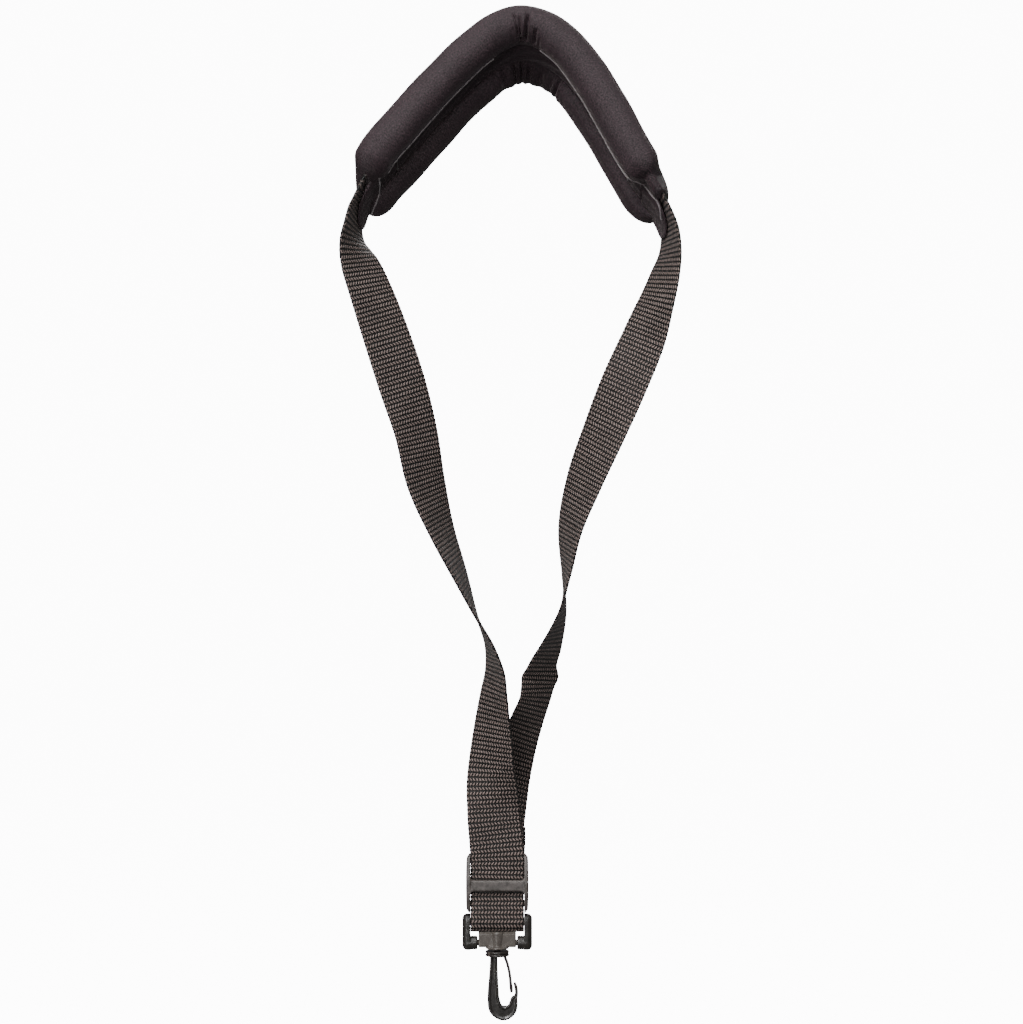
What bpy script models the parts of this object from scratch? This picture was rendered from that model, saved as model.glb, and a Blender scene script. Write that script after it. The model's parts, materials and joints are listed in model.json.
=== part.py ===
"""Saxophone neck strap, hanging by its pad: two padded rolls, a loop of webbing, a slide and a swivel snap hook.

The origin is the neck seat, under the middle of the pad. +Z is up, +X runs from the left leg to the right,
and +Y runs from the front of the strap to its back.
"""

import math

import bmesh
import bpy
import numpy as np

MM = 0.001  # every size below is in millimetres, and MM turns it into metres

# Driving dimensions
clearance = 0.3  # gap between pieces that touch
web_width = 24.8
web_thickness = 1.3
side_play = 0.5  # web edge to the plastic beside it

pad_half_span = 70.0
pad_rise = 80.0
pad_lean = 0.31  # how far the pad's arms come forward for each unit they drop
roll_radius = 9.3
rolls_past_web = 6.2  # the rolls' centres stand this much wider apart than the web
roll_level = -0.6  # the rolls' centres, below the arch line
band_level = -4.2  # underside of the band between the rolls
cover_thickness = 0.9
cover_slack = 0.4  # cover to foam
welt_radius = 0.8
pad_end_flatness = 0.28  # thickness of the pad's ends, against its middle
pad_end_taper = 0.11  # share of the arch over which an end flattens

neck_drop = 394.3  # neck seat to the slide's centre bar
hardware_x = -10.9
web_y = -2.75  # the straight web's middle plane

slide_travel = 36.0
slide_rail = 2.05
slide_above = 14.8  # rail above the centre bar's middle
slide_below = 13.3
centre_bar_height = 5.5
centre_bar_depth = 2.5
end_bar_depth = 2.2
top_bar_height = 3.6
bottom_bar_height = 2.5

crossbar_radius = 1.8
crossbar_drop = 17.7  # slide's centre bar to the yoke's crossbar
crossbar_y = -0.7
ear_width = 3.8
ear_depth = 6.4
pivot_drop = 10.1  # crossbar to the bosses' axis
boss_radius = 3.3
boss_length = 3.4
trunnion_radius = 1.45
trunnion_length = 3.9
pin_clearance = 0.08

block_height = 7.5
block_depth = 4.4
barrel_top_radius = 3.6
barrel_bottom_radius = 2.8
collar_radius = 5.6
barrel_below = 3.0  # barrel below the bosses' axis
stem_radius = 1.3
stem_head_radius = 1.75
flange_radius = 5.7
flange_thickness = 2.5
flange_gap = 0.8  # barrel to flange
hook_depth = 4.4
gate_depth = 3.0
seat_x = 3.7  # middle of the flat at the bottom of the hook's eye
seat_drop = 24.1  # and its depth below the flange

# Places that follow from them
web_edge = web_width / 2
roll_spacing = web_width + rolls_past_web  # between the two rolls' centres
inner_half = web_edge + side_play  # inside of the slide's rails and of the yoke's ears
slide_z = -neck_drop
crossbar_z = slide_z - crossbar_drop
pivot_z = crossbar_z - pivot_drop
wrap_radius = crossbar_radius + clearance + web_thickness / 2
flat_top_z = slide_z + slide_above + slide_travel + 15.5  # the left leg is flat below this
loop_front_y = web_y + web_thickness + clearance
top_bar_y = loop_front_y + web_thickness / 2 + clearance + end_bar_depth / 2
top_bar_z = slide_z + slide_above - 1.0 - top_bar_height / 2
slide_loop_top = slide_z + slide_above + 13.1
leg_join_z = slide_z + 94.3  # where the right leg's folding stretch begins
flange_top = pivot_z - barrel_below - flange_gap
flange_bottom = flange_top - flange_thickness
web_level = roll_radius - 1.65  # the web inside the pad lies on its outer side
under_web = web_level - web_thickness / 2 - clearance / 2
pad_end_y = 4.95 - pad_lean * pad_rise

CHARCOAL = (0.018, 0.016, 0.017)
WEB_BROWN = (0.030, 0.026, 0.025)
PLASTIC = (0.045, 0.041, 0.038)
FOAM = (0.20, 0.20, 0.21)


def clear_scene():
    for item in list(bpy.data.objects):
        bpy.data.objects.remove(item, do_unlink=True)


def finish_of(name, colour, roughness):
    material = bpy.data.materials.new(name)
    material.use_nodes = True
    shader = material.node_tree.nodes["Principled BSDF"]
    shader.inputs["Base Color"].default_value = (*colour, 1)
    shader.inputs["Roughness"].default_value = roughness
    shader.inputs["Metallic"].default_value = 0.0
    return material


def smooth_rows(rows, count):
    """Rows of numbers on a smooth curve through the given rows, evenly spaced by distance."""
    rows = np.array(rows, float)
    steps = np.linalg.norm(np.diff(rows[:, :3], axis=0), axis=1)
    reach = np.concatenate([[0], np.cumsum(steps)])
    slopes = np.gradient(rows, reach, axis=0)
    found = []
    for at in np.linspace(0, reach[-1], count):
        i = min(np.searchsorted(reach, at, side="right") - 1, len(rows) - 2)
        gap = reach[i + 1] - reach[i]
        t = (at - reach[i]) / gap
        found.append(
            (2 * t**3 - 3 * t**2 + 1) * rows[i]
            + (t**3 - 2 * t**2 + t) * gap * slopes[i]
            + (3 * t**2 - 2 * t**3) * rows[i + 1]
            + (t**3 - t**2) * gap * slopes[i + 1]
        )
    return np.array(found)


def unit(vectors):
    return vectors / np.linalg.norm(vectors, axis=-1, keepdims=True)


def loft(name, rings, material, origin=(0, 0, 0)):
    """One closed body through rings of points, in millimetres, with its origin at the given point."""
    count = len(rings[0])
    shape = bmesh.new()
    for ring in rings:
        for point in ring:
            shape.verts.new([(point[i] - origin[i]) * MM for i in range(3)])
    shape.verts.ensure_lookup_table()
    for row in range(len(rings) - 1):
        for i in range(count):
            j = (i + 1) % count
            corners = (row * count + i, row * count + j, (row + 1) * count + j, (row + 1) * count + i)
            shape.faces.new([shape.verts[k] for k in corners])
    last = (len(rings) - 1) * count
    shape.faces.new([shape.verts[i] for i in reversed(range(count))])
    shape.faces.new([shape.verts[last + i] for i in range(count)])
    bmesh.ops.recalc_face_normals(shape, faces=shape.faces)
    mesh = bpy.data.meshes.new(name)
    shape.to_mesh(mesh)
    shape.free()
    item = bpy.data.objects.new(name, mesh)
    item.location = [origin[i] * MM for i in range(3)]
    mesh.materials.append(material)
    bpy.context.collection.objects.link(item)
    return item


def ribbon(name, points, across, material, origin=(0, 0, 0), along=None):
    """Webbing along points, whose width runs along the vectors in across."""
    width, thickness = web_width, web_thickness
    along = unit(np.gradient(points, axis=0)) if along is None else along
    across = unit(across - np.sum(across * along, axis=1, keepdims=True) * along)
    up = np.cross(along, across)
    rings = []
    for p, a, n in zip(points, across, up):
        corners = ((-1, -1), (1, -1), (1, 1), (-1, 1))
        rings.append([p + a * i * width / 2 + n * j * thickness / 2 for i, j in corners])
    return loft(name, rings, material, origin)


def thread(name, points, radius, material):
    """A round cord along points."""
    curve = bpy.data.curves.new(name, "CURVE")
    curve.dimensions = "3D"
    spline = curve.splines.new("POLY")
    spline.points.add(len(points) - 1)
    for target, point in zip(spline.points, points):
        target.co = (*[value * MM for value in point], 1)
    curve.bevel_depth = radius * MM
    curve.bevel_resolution = 1
    curve.use_fill_caps = True
    curve.materials.append(material)
    item = bpy.data.objects.new(name, curve)
    bpy.context.collection.objects.link(item)
    return item


def helper(item):
    item.hide_render = True
    item.display_type = "WIRE"
    return item


def combine(item, others, operation):
    for other in others:
        modifier = item.modifiers.new(operation.lower(), "BOOLEAN")
        modifier.operation = operation
        modifier.object = helper(other)


def turned(name, profile, centre, material, axis="Z", sides=28):
    """A round solid: profile rows are (radius, distance along the axis from the centre)."""
    rings = []
    for radius, level in profile:
        ring = []
        for k in range(sides):
            angle = 2 * math.pi * k / sides
            a, b = radius * math.cos(angle), radius * math.sin(angle)
            offset = (level, a, b) if axis == "X" else (a, b, level)
            ring.append([centre[i] + offset[i] for i in range(3)])
        rings.append(ring)
    return loft(name, rings, material, centre)


# The pad. Its sections are drawn in two directions: u runs from the front roll to the back roll,
# and v runs outwards from the neck.

# x as a share of the half span, drop as a share of the rise, and the band's tilt in degrees
PAD_ARCH = (
    (-1.035, 0.916, 32), (-0.985, 0.825, 32), (-0.815, 0.641, 32), (-0.567, 0.383, 31),
    (-0.326, 0.160, 30), (-0.161, 0.050, 30), (0.000, 0.000, 29), (0.169, 0.032, 27),
    (0.310, 0.116, 25), (0.464, 0.280, 23), (0.605, 0.487, 21), (0.752, 0.737, 20),
    (0.856, 0.889, 20), (0.934, 1.000, 20),
)


def arch_frames(count=33):
    """Points on the pad's arch, with the directions of u and v at each."""
    seat_height = roll_radius - roll_level
    tilt = math.radians(30)
    apex_y, apex_z = seat_height * math.sin(tilt), seat_height * math.cos(tilt)
    rows = []
    for share, drop, degrees in PAD_ARCH:
        fall = drop * pad_rise
        rows.append((share * pad_half_span, apex_y - pad_lean * fall, apex_z - fall, degrees))
    rows = smooth_rows(rows, count)
    points, tilts = rows[:, :3], np.radians(rows[:, 3])
    u = np.stack([np.zeros(count), np.cos(tilts), -np.sin(tilts)], axis=1)
    v = unit(np.cross(unit(np.gradient(points, axis=0)), u))
    return points, u, v


def end_pinch(count):
    """How flat the pad is at each station: 1 along its middle, less at its two ends."""
    share = np.linspace(0, 1, count)
    near_end = np.clip(np.minimum(share, 1 - share) / pad_end_taper, 0, 1)
    return pad_end_flatness + (1 - pad_end_flatness) * np.sin(near_end * math.pi / 2)


def squeezed(level, flat):
    """A level in the section where the pad is flattened. The web and the fabric over it keep their thickness."""
    return min(level, under_web) * flat + max(level - under_web, 0.0)


def pad_rings(outline, first=0, last=None):
    """The outline swept along the arch, flatter towards the pad's ends."""
    points, u, v = arch_frames()
    rings = []
    for p, a, n, flat in list(zip(points, u, v, end_pinch(len(points))))[first:last]:
        rings.append([p + a * x + n * squeezed(y, flat) for x, y in outline])
    return rings


def arc(centre, radius, start, end, steps):
    """Points on an arc, from one angle to another, in degrees."""
    angles = np.radians(np.linspace(start, end, steps + 1))
    return [(centre[0] + radius * math.cos(a), centre[1] + radius * math.sin(a)) for a in angles]


def cover_side(inset):
    """Half of the cover's outline, from the middle of its top round the back roll to the band, drawn inset."""
    radius = roll_radius - inset
    centre = (roll_spacing / 2, roll_level)
    top = web_level + web_thickness / 2 + clearance + cover_thickness - inset
    band = band_level + inset
    meets = math.degrees(math.asin((band - roll_level) / radius))
    flank = [(0, top), (web_edge + 1.2 - inset, top)]
    return flank + arc(centre, radius, 58, -180 - meets, 13)


def pad_cover(material):
    """A sleeve of fabric wrapped round the foam and the web. It closes at a seam beside the front roll."""
    seam = -roll_spacing / 2 + roll_radius
    outlines = []
    for inset, edge in ((0.0, seam), (cover_thickness, seam)):
        back = cover_side(inset)
        front = [(-x, y) for x, y in reversed(back[1:])]
        band = band_level + inset
        outlines.append([(edge + clearance, band)] + list(reversed(back)) + list(reversed(front)) + [(edge, band)])
    outline = outlines[0] + list(reversed(outlines[1]))
    return loft("pad_cover", pad_rings(outline), material)


def foam_roll(name, side, material):
    radius = roll_radius - cover_thickness - cover_slack
    outline = arc((side * roll_spacing / 2, roll_level), radius, 0, 330, 11)
    return loft(name, pad_rings(outline, 2, -2), material)


def foam_core(material):
    half = roll_spacing / 2 - roll_radius + cover_thickness
    top = web_level - web_thickness / 2 - clearance - 0.1
    bottom = band_level + cover_thickness + clearance
    outline = [(-half, bottom), (half, bottom), (half, top), (-half, top)]
    return loft("foam_core", pad_rings(outline, 2, -2), material)


def seam_welt(material):
    """A cord that follows the front roll's inner edge."""
    angle = math.radians(-32)
    reach = roll_radius + welt_radius + clearance
    spot = (-roll_spacing / 2 + reach * math.cos(angle), roll_level + reach * math.sin(angle))
    path = [ring[0] for ring in pad_rings([spot], 1, -1)]
    return thread("seam_welt", path, welt_radius, material)


def web_in_pad():
    """The web's middle line inside the pad, and the direction of its width."""
    points = np.array([ring[0] for ring in pad_rings([(0, web_level)])])
    return points, arch_frames()[1]


def pad_web(material):
    points, across = web_in_pad()
    return ribbon("webbing_pad_run", points, across, material)


def pad_tack(name, station, material):
    """A bar of thread across the band, near one end of the pad."""
    level = band_level - clearance - 0.35
    half = roll_spacing / 2 - roll_radius - 1.0
    spots = [(half * share, level) for share in (-1, -0.5, 0, 0.5, 1)]
    ring = pad_rings(spots, station, station + 1)[0]
    return thread(name, ring, 0.3, material)


# The webbing's legs. A row holds x from the hardware as a share of the pad's half span, y in
# millimetres, z as a share of the way down from the pad's end, and the turn of the web in degrees.
# At 0 and at 180 the web faces front; at 90 it is edge-on. The first row of each leg is the pad's end.
LEFT_LEG = (
    (0.947, -18.6, 0.028, 77), (0.963, -20.5, 0.054, 74), (0.966, -21.7, 0.080, 66), (0.917, -23.4, 0.124, 47),
    (0.854, -25.1, 0.168, 39), (0.741, -25.3, 0.254, 30), (0.637, -24.3, 0.340, 28), (0.544, -22.4, 0.427, 38),
    (0.481, -20.0, 0.513, 45), (0.379, -17.3, 0.600, 62), (0.247, -14.4, 0.687, 76), (0.137, -12.0, 0.762, 90),
    (0.052, -10.1, 0.818, 104), (0.020, -8.6, 0.862, 117), (0.016, -7.0, 0.907, 133), (0.008, -4.6, 0.951, 157),
)
# The right leg's drop runs on down to the fold at the slide. Its last stretch passes behind the left leg.
RIGHT_LEG = (
    (1.161, -20.0, 0.044, 105), (1.164, -20.6, 0.079, 111), (1.126, -21.3, 0.118, 121),
    (1.076, -22.0, 0.156, 129), (0.993, -20.2, 0.213, 144), (0.856, -17.8, 0.289, 151), (0.723, -14.1, 0.365, 144),
    (0.593, -9.8, 0.442, 133), (0.496, -5.5, 0.519, 116), (0.466, -1.2, 0.597, 97), (0.440, 2.0, 0.655, 81),
    (0.361, 4.8, 0.714, 65), (0.303, 7.0, 0.753, 55), (0.266, 8.2, 0.793, 51), (0.206, 7.7, 0.832, 44),
    (0.130, 6.4, 0.880, 33), (0.071, 4.3, 0.928, 23), (0.026, 1.6, 0.972, 10),
)


def leg_route(shares, end, tangent, turn, bottom, below, count):
    """Points, width directions and travel directions of a leg, from the pad's end to the rows below it."""
    start = end + tangent * (clearance + 0.1)
    rows = [(*start, turn)]
    for x_share, y, drop, row_turn in shares:
        x = hardware_x + x_share * math.copysign(pad_half_span, end[0])
        rows.append((x, y, end[2] + drop * (bottom - end[2]), row_turn))
    rows = smooth_rows(rows + below, count)
    points = rows[:, :3]
    along = unit(np.gradient(points, axis=0))
    along[0] = tangent
    level = unit(np.cross(along, (0, 1, 0)))
    depth = unit(np.cross(level, along))
    turns = np.radians(rows[:, 3])[:, None]
    return points, level * np.cos(turns) + depth * np.sin(turns), along


def yoke_wrap():
    """The web's path round the yoke's crossbar and up to its sewn tail, as points at the hardware's x."""
    tail_y = web_y + web_thickness + clearance
    path = [(web_y, crossbar_z + 8.0), (web_y - 0.2, crossbar_z + 5.5), (web_y - 0.6, crossbar_z + 2.8)]
    path += arc((crossbar_y, crossbar_z), wrap_radius, 172, 368, 13)
    path += [(crossbar_y + 2.3, crossbar_z + 2.4), (0.4, crossbar_z + 4.4), (-0.7, crossbar_z + 5.6)]
    path += [(tail_y, crossbar_z + 7.1)]
    return [(hardware_x, y, z) for y, z in path]


def left_leg(end, tangent, material):
    below = [(hardware_x, web_y, flat_top_z - drop, 180) for drop in (0, 1.2, 12, 30)]
    points, across, along = leg_route(LEFT_LEG, end, tangent, 74, flat_top_z, below, 56)
    wrap = np.array(yoke_wrap())
    turns = np.concatenate([points[-1:], wrap])
    points = np.concatenate([points, wrap])
    across = np.concatenate([across, np.tile((-1.0, 0.0, 0.0), (len(wrap), 1))])
    along = np.concatenate([along[:-1], unit(np.gradient(turns, axis=0))])
    return ribbon("webbing_left_leg", points, across, material, along=along)


def right_leg(end, tangent, material):
    """The right leg in two pieces: the one above holds still, and the one below folds up with the slide."""
    bottom = slide_loop_top + clearance
    below = [(hardware_x, loop_front_y, bottom, 0)]
    points, across, along = leg_route(RIGHT_LEG, end, tangent, 100, bottom, below, 64)
    along[-1] = (0, 0, -1)
    join = int(np.argmax(points[:, 2] < leg_join_z))
    ribbon("webbing_right_leg", points[: join + 1], across[: join + 1], material, along=along[: join + 1])
    points[join] += along[join] * clearance
    ribbon("webbing_right_lower", points[join:], across[join:], material, along=along[join:])


def slide_loop(material):
    """The right leg's end, folded round the slide's top bar and back up beside itself."""
    fold = end_bar_depth / 2 + clearance + web_thickness / 2
    fold_z = top_bar_z - top_bar_height / 2 + end_bar_depth / 2
    tail_y = loop_front_y + web_thickness + clearance
    path = [(loop_front_y, slide_loop_top), (loop_front_y, slide_loop_top - 8), (loop_front_y, fold_z + 2)]
    path += arc((top_bar_y, fold_z), fold, 180, 360, 10)
    above = top_bar_z + top_bar_height / 2
    path += [(top_bar_y + fold, fold_z + 1.6), (top_bar_y + fold - 0.4, above), (tail_y + 0.9, above + 2.2)]
    path += [(tail_y, above + 4.4), (tail_y, slide_loop_top)]
    points = np.array([(hardware_x, y, z) for y, z in path])
    across = np.tile((-1.0, 0.0, 0.0), (len(points), 1))
    place = (hardware_x, web_y, slide_z)
    return ribbon("webbing_slide_loop", points, across, material, place)


def slide_stitch(material):
    """A box of thread on the back of the folded end."""
    y = loop_front_y + 1.5 * web_thickness + 2 * clearance + 0.3
    half, top, bottom = web_edge - 3.2, slide_loop_top - 1.6, slide_loop_top - 7.6
    corners = [(1.0, top), (half, top), (half, bottom), (-half, bottom), (-half, top), (-1.0, top)]
    path = [(hardware_x + x, y, z) for x, z in corners]
    return thread("stitch_slide_loop", path, 0.3, material)


def yoke_stitch(material):
    """A zigzag of thread on the back of the sewn tail, above the yoke's crossbar."""
    teeth = 11
    half = web_edge - 2.4
    path = []
    for k in range(2 * teeth + 1):
        x = -half + half * k / teeth
        y, z = (0.45, 6.2) if k % 2 else (1.32, 5.25)
        path.append((hardware_x + x, y, crossbar_z + z))
    return thread("stitch_yoke_loop", path, 0.3, material)


# The slide: two rails beside the web, a raised bar in front of it, and two bars behind it.


def rail(side, material):
    rings = []
    for k in range(17):
        share = k / 16
        z = -slide_below + share * (slide_above + slide_below)
        bow = math.sin(math.pi * share)
        end = min(1.0, min(share, 1 - share) * 9)
        round_off = math.sqrt(1 - (1 - end) ** 2)
        outer = inner_half + 0.55 + (slide_rail - 0.75) * round_off + 0.2 * bow
        front = web_y - 0.6 - 3.1 * bow - 0.2 * round_off
        back = web_y + 4.2 + 0.75 * round_off - 0.9 * bow
        edge = 0.55
        section = [(inner_half, front), (outer - edge, front), (outer, front + edge)]
        section += [(outer, back - edge), (outer - edge, back), (inner_half, back)]
        rings.append([(hardware_x + side * x, y, slide_z + z) for x, y in section])
    return loft(f"rail_{'left' if side < 0 else 'right'}", rings, material, (hardware_x, web_y, slide_z))


def slide_bar(name, y, z, depth, height, fillet, material):
    """A bar across the slide, with rounded edges and fillets where it meets the rails."""
    reach = inner_half + 0.9
    fractions = [0, 0.25, 0.5, 0.75, 1]
    stops = [inner_half - fillet + fillet * f for f in fractions] if fillet else [inner_half]
    stations = [-reach] + [-x for x in reversed(stops)] + stops + [reach]
    rings = []
    for x in stations:
        into = max(0.0, min(1.0, (abs(x) - inner_half + fillet) / fillet)) if fillet else 0.0
        half = height / 2 + fillet * (1 - math.sqrt(1 - into**2))
        r = 0.45 * min(depth, height) / 1.2
        corners = []
        for cy, cz, start in ((1, 1, 0), (-1, 1, 90), (-1, -1, 180), (1, -1, 270)):
            centre = (y + cy * (depth / 2 - r), z + cz * (half - r))
            corners += arc(centre, r, start, start + 90, 3)
        rings.append([(hardware_x + x, a, b) for a, b in corners])
    return loft(name, rings, material, (hardware_x, web_y, slide_z))


def slide_adjuster(material):
    body = rail(-1, material)
    body.name = "slide_adjuster"
    front_y = web_y - web_thickness / 2 - clearance - centre_bar_depth / 2 - 0.2
    bottom_y = web_y + web_thickness / 2 + clearance + end_bar_depth / 2
    bottom_z = crossbar_z + 7.1 + clearance + 0.1 + bottom_bar_height / 2
    bars = (
        slide_bar("centre_bar", front_y, slide_z, centre_bar_depth, centre_bar_height, 1.9, material),
        slide_bar("top_bar", top_bar_y, top_bar_z, end_bar_depth, top_bar_height, 0, material),
        slide_bar("bottom_bar", bottom_y, bottom_z, end_bar_depth, bottom_bar_height, 0, material),
    )
    combine(body, [rail(1, material), *bars], "UNION")
    return body


# The yoke, the block and the hook, which hang from the web's end.


def ear(side, material):
    """One ear of the yoke: a round-ended plate whose outer edge is well rounded."""
    half = ear_depth / 2
    top, bottom = crossbar_z + 0.7, pivot_z - 0.4
    outline = arc((crossbar_y, top), half, 0, 180, 8) + arc((crossbar_y, bottom), half, 180, 360, 8)
    middle = ((top + bottom) / 2, crossbar_y)
    rings = []
    for x, shrink in ((0, 0.0), (1.7, 0.0), (2.6, 0.25), (3.3, 0.85), (ear_width, 1.9)):
        ring = []
        for y, z in outline:
            scale_y = 1 - shrink / half
            scale_z = 1 - shrink / ((top - bottom) / 2 + half)
            at_y = middle[1] + (y - middle[1]) * scale_y
            at_z = middle[0] + (z - middle[0]) * scale_z
            ring.append((hardware_x + side * (inner_half + x), at_y, at_z))
        rings.append(ring)
    name = f"ear_{'left' if side < 0 else 'right'}"
    return loft(name, rings, material, (hardware_x, crossbar_y, crossbar_z))


def yoke(material):
    body = ear(-1, material)
    body.name = "yoke"
    centre = (hardware_x, crossbar_y, crossbar_z)
    reach = inner_half + 1.2
    bar = turned("crossbar", [(crossbar_radius, -reach), (crossbar_radius, reach)], centre, material, "X", 20)
    parts = [ear(1, material), bar]
    bores = []
    for side in (-1, 1):
        inner, outer = inner_half - boss_length, inner_half + 1.2
        spot = (hardware_x, crossbar_y, pivot_z)
        rows = [(boss_radius - 0.4, side * inner), (boss_radius, side * (inner + 0.4)), (boss_radius, side * outer)]
        parts.append(turned(f"boss_{side}", rows, spot, material, "X", 24))
        bore = trunnion_radius + pin_clearance
        deep = inner + trunnion_length + 0.4
        rows = [(bore, side * (inner - 1)), (bore, side * deep)]
        bores.append(turned(f"bore_{side}", rows, spot, material, "X", 20))
    combine(body, parts, "UNION")
    combine(body, bores, "DIFFERENCE")
    return body


def pivot_block(material):
    """Two wings with trunnions, and a tapered barrel that the hook's stem turns in."""
    centre = (hardware_x, crossbar_y, pivot_z)
    reach = inner_half - boss_length - 0.5
    half, low, high = block_depth / 2, -2.1, block_height - 2.1
    edge = 0.8
    section = [(-half + edge, low), (half - edge, low), (half, low + edge), (half, high - 1.5 * edge)]
    section += [(half - 1.2 * edge, high), (-half + 1.2 * edge, high), (-half, high - 1.5 * edge), (-half, low + edge)]
    rings = []
    for x, shrink in ((-reach, 0.25), (-reach + 0.5, 0), (reach - 0.5, 0), (reach, 0.25)):
        ring = []
        for y, z in section:
            ring.append((centre[0] + x, centre[1] + y * (1 - shrink / half), centre[2] + z * (1 - shrink / 4)))
        rings.append(ring)
    body = loft("pivot_block", rings, material, centre)
    top = block_height - 2.1 + 0.05
    rows = [(barrel_bottom_radius - 0.3, -barrel_below), (barrel_bottom_radius, -barrel_below + 0.3)]
    rows += [(barrel_top_radius, top - 0.6), (barrel_top_radius - 0.6, top)]
    barrel = turned("barrel", rows, centre, material)
    rows = [(collar_radius, -barrel_below + 0.4), (collar_radius, -barrel_below + 1.1)]
    rows = [(collar_radius - 0.3, -barrel_below + 0.15)] + rows + [(collar_radius - 1.0, -barrel_below + 1.5)]
    pins = [turned("collar", rows, centre, material)]
    for side in (-1, 1):
        end = reach + 0.5 + trunnion_length
        rows = [(trunnion_radius, side * (reach - 1)), (trunnion_radius, side * end)]
        pins.append(turned(f"trunnion_{side}", rows, centre, material, "X", 20))
    bore, chamber = stem_radius + pin_clearance, stem_head_radius + pin_clearance
    rows = [(bore, -barrel_below - 1), (bore, 0.7), (chamber, 0.7), (chamber, 3.9)]
    socket = turned("socket", rows, centre, material)
    combine(body, [barrel, *pins], "UNION")
    combine(body, [socket], "DIFFERENCE")
    return body


# The hook's centreline from the flange round to its nose: x and z from the flange's underside, and its width
HOOK_LINE = (
    (-1.7, 1.2, 3.5), (-1.7, -1.5, 3.6), (-1.8, -9.3, 4.3), (-1.9, -16.5, 5.3), (-1.75, -21.3, 5.9),
    (-0.5, -25.4, 6.8), (3.2, -27.4, 6.8), (6.4, -25.7, 5.8), (7.9, -22.4, 3.9), (8.1, -20.6, 3.2),
    (8.95, -19.4, 1.9), (9.2, -17.2, 1.6), (8.85, -14.8, 1.5), (8.2, -12.9, 1.1),
)
# The gate's, from its root to its tip
GATE_LINE = ((3.6, -0.55, 1.4), (4.55, -2.9, 1.4), (5.25, -5.4, 1.4), (6.0, -9.3, 1.4), (6.4, -13.3, 1.5),
             (6.75, -16.3, 1.6), (6.85, -17.5, 1.2))


def rimmed_bar(name, line, depth, rim, count, material, origin):
    """A bar bent in the XZ plane, whose faces are sunk between two raised rims."""
    rows = smooth_rows([(x, 0, z, width) for x, z, width in line], count)
    along = unit(np.gradient(rows[:, :3], axis=0))
    rings = []
    for k, (x, _, z, width) in enumerate(rows):
        out = (along[k][2], -along[k][0])
        half, d = width / 2, depth / 2 * min(1.0, 0.62 + 0.5 * width / depth)
        lip, sunk = min(rim, half * 0.45), min(0.45, half * 0.3)
        edge = 0.25 * half
        side = [(-half, -d + 0.5), (-half + edge, -d), (-half + lip, -d), (-half + lip + 0.25 * half, -d + sunk)]
        side += [(half - lip - 0.25 * half, -d + sunk), (half - lip, -d), (half - edge, -d), (half, -d + 0.5)]
        section = side + [(a, -b) for a, b in reversed(side)]
        place = (hardware_x + x, crossbar_y, flange_bottom + z)
        rings.append([(place[0] + out[0] * a, place[1] + b, place[2] + out[1] * a) for a, b in section])
    return loft(name, rings, material, origin)


def hook_seat(material):
    """A cutter for the flat at the bottom of the hook's eye, where an instrument's ring sits."""
    x, z = hardware_x + seat_x, flange_bottom - seat_drop
    section = [(x - 1.2, z), (x + 1.2, z), (x + 2.2, z + 1.4), (x - 2.2, z + 1.4)]
    rings = [[(a, crossbar_y + y, b) for a, b in section] for y in (-4, 4)]
    return loft("hook_seat_cutter", rings, material)


def swivel_hook(material):
    axis = (hardware_x, crossbar_y, flange_bottom)
    body = rimmed_bar("swivel_hook", HOOK_LINE, hook_depth, 0.9, 58, material, axis)
    head, thick = flange_radius, flange_thickness
    rows = [(head - 0.3, 0), (head, 0.2), (head, 0.9), (head - 0.6, 1.15), (head - 0.6, 1.35), (head, 1.6)]
    rows += [(head, thick - 0.2), (head - 0.3, thick), (stem_radius, thick)]
    neck = pivot_z + 0.7 + clearance - flange_bottom
    rows += [(stem_radius, neck), (stem_head_radius, neck), (stem_head_radius, neck + 1.6)]
    rows += [(stem_radius, neck + 2.4)]
    flange = turned("flange", rows, axis, material)
    combine(body, [flange], "UNION")
    combine(body, [hook_seat(material)], "DIFFERENCE")
    return body


def hook_gate(material):
    root = (hardware_x + GATE_LINE[0][0], crossbar_y, flange_bottom - 0.8)
    return rimmed_bar("hook_gate", GATE_LINE, gate_depth, 0.4, 18, material, root)


def joint_axes():
    """Empties on the axes that the moving pieces turn about."""
    spots = {
        "slide_adjust_axis": (hardware_x, web_y, slide_z),
        "yoke_swing_axis": (hardware_x, crossbar_y, crossbar_z),
        "hook_pivot_axis": (hardware_x, crossbar_y, pivot_z),
        "hook_swivel_axis": (hardware_x, crossbar_y, flange_bottom),
        "gate_flex_axis": (hardware_x + GATE_LINE[0][0], crossbar_y, flange_bottom - 0.8),
    }
    for name, spot in spots.items():
        empty = bpy.data.objects.new(name, None)
        empty.location = [value * MM for value in spot]
        empty.empty_display_size = 5 * MM
        bpy.context.collection.objects.link(empty)


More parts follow.
